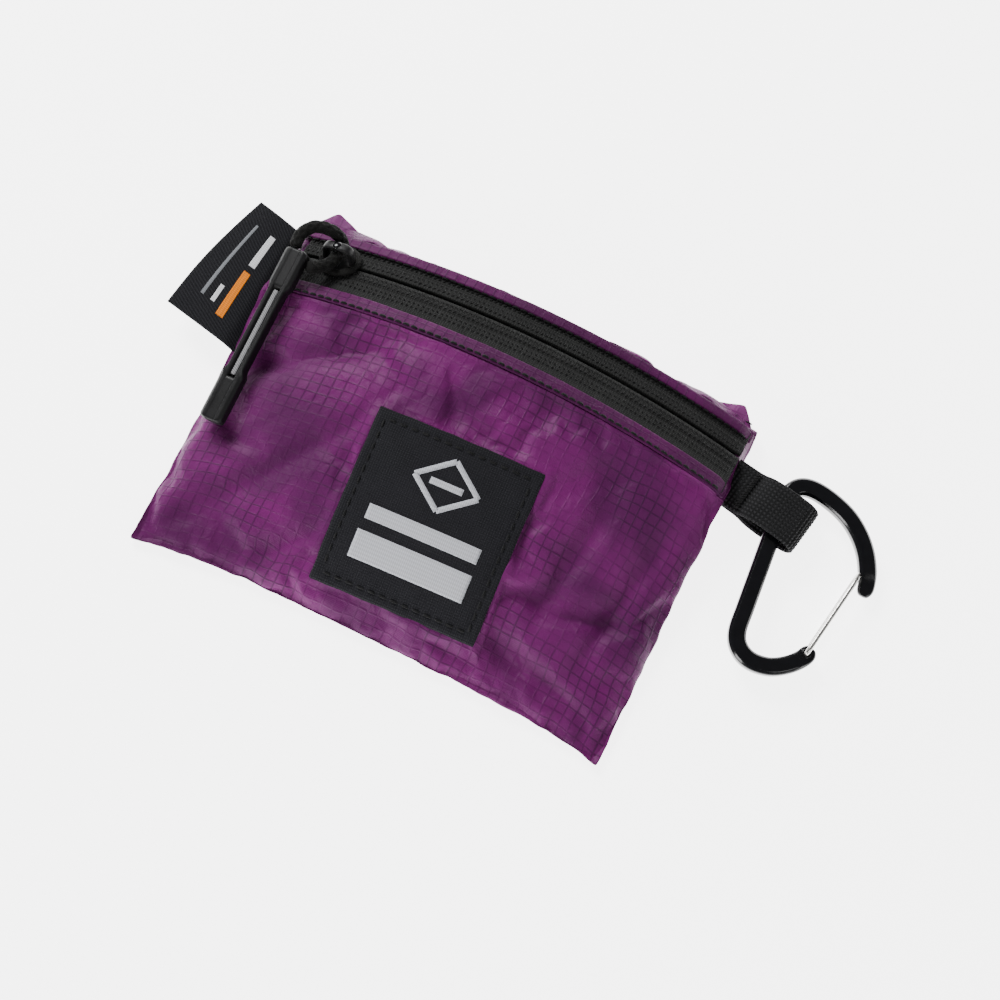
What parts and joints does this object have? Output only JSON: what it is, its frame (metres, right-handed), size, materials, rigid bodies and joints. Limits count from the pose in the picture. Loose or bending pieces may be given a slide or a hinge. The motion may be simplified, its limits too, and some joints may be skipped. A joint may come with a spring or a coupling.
{
  "type": "stuff sack",
  "caption": "Small flat zipped stuff sack of ripstop nylon with a cord puller, front patch, side tag and a webbing loop that holds a mini carabiner.",
  "frame": {"origin": "middle of the flat resting area of the back panel, on the surface the pouch lies on", "axes": "+X along the zipper towards the webbing loop and carabiner, +Y up the front towards the zipper, +Z out of the front"},
  "size_m": [0.186, 0.0941, 0.0213],
  "materials": {
    "ripstop": "thin calendered ripstop nylon, soft sheen, fine grid of thicker threads",
    "zipper_tape": "matt knitted zipper tape",
    "zipper_coil": "black nylon coil",
    "seam_tape": "thin black binding tape",
    "thread": "black polyester thread",
    "patch_weave": "tight matt black weave",
    "tag_weave": "black twill ribbon",
    "webbing": "black ladder-weave webbing",
    "slider_metal": "gloss black paint on die cast",
    "carabiner_metal": "black anodised, glossy chamfers",
    "gate_wire": "bare spring steel wire",
    "cord": "black braided cord",
    "grip_plastic": "moulded black plastic, satin",
    "inlay": "light grey strip"
  },
  "bodies": {
    "pouch": {"back_panel": "ripstop", "front_panel": "ripstop", "front_hem": "ripstop", "back_hem": "ripstop", "front_hem_topstitch": "thread", "back_hem_topstitch": "thread", "zipper_tape_lower": "zipper_tape", "zipper_tape_upper": "zipper_tape", "zipper_coil_lower": "zipper_coil", "zipper_coil_upper": "zipper_coil", "zip_stop_left": "slider_metal", "zip_stop_right": "slider_metal", "left_seam_binding": "seam_tape", "right_seam_binding": "seam_tape", "bottom_seam_binding": "seam_tape", "left_ear_stitch": "thread", "right_ear_stitch": "thread", "front_patch": "patch_weave", "patch_stitching": "thread"},
    "slider": {"slider_body": "slider_metal", "slider_bridge": "slider_metal"},
    "pull": {"pull_cord": "cord"},
    "grip": {"pull_grip": "grip_plastic", "grip_inlay": "inlay"},
    "tag": {"side_tag": "tag_weave"},
    "strap": {"webbing_loop": "webbing", "webbing_bartack": "thread"},
    "carabiner": {"carabiner_frame": "carabiner_metal"},
    "gate": {"wire_gate": "gate_wire"}
  },
  "joints": [
    {"name": "zip_travel", "type": "hinge", "parent": "pouch", "child": "slider", "pos_m": [0.002, -0.0301, -0.17244], "axis": [0, 0.9397, -0.342], "range_deg": [0, 27]},
    {"name": "pull_flip", "type": "hinge", "parent": "slider", "child": "pull", "pos_m": [-0.04946, 0.0372, 0.01248], "axis": [0, 1, 0], "range_deg": [0, 60]},
    {"name": "grip_bend", "type": "hinge", "parent": "pull", "child": "grip", "pos_m": [-0.0533, 0.0296, 0.01695], "axis": [-1, 0, 0], "range_deg": [0, 75]},
    {"name": "tag_flap", "type": "hinge", "parent": "pouch", "child": "tag", "pos_m": [-0.0635, 0.022, 0.007], "axis": [0, 1, 0], "range_deg": [-12, 60], "stiffness_Nm_per_rad": 0.004},
    {"name": "strap_flap", "type": "hinge", "parent": "pouch", "child": "strap", "pos_m": [0.0618, 0.0291, 0.005], "axis": [-0.1736, -0.9848, 0], "range_deg": [0, 45]},
    {"name": "carabiner_swing", "type": "hinge", "parent": "strap", "child": "carabiner", "pos_m": [0.0745, 0.0259, 0.005], "axis": [0.0941, -0.9956, 0], "range_deg": [0, 70]},
    {"name": "gate_open", "type": "hinge", "parent": "carabiner", "child": "gate", "pos_m": [0.09426, -0.00096, 0.00362], "axis": [0.0798, 0.0075, 0.9968], "range_deg": [0, 22], "stiffness_Nm_per_rad": 0.02, "springref_deg": -5.73}
  ]
}
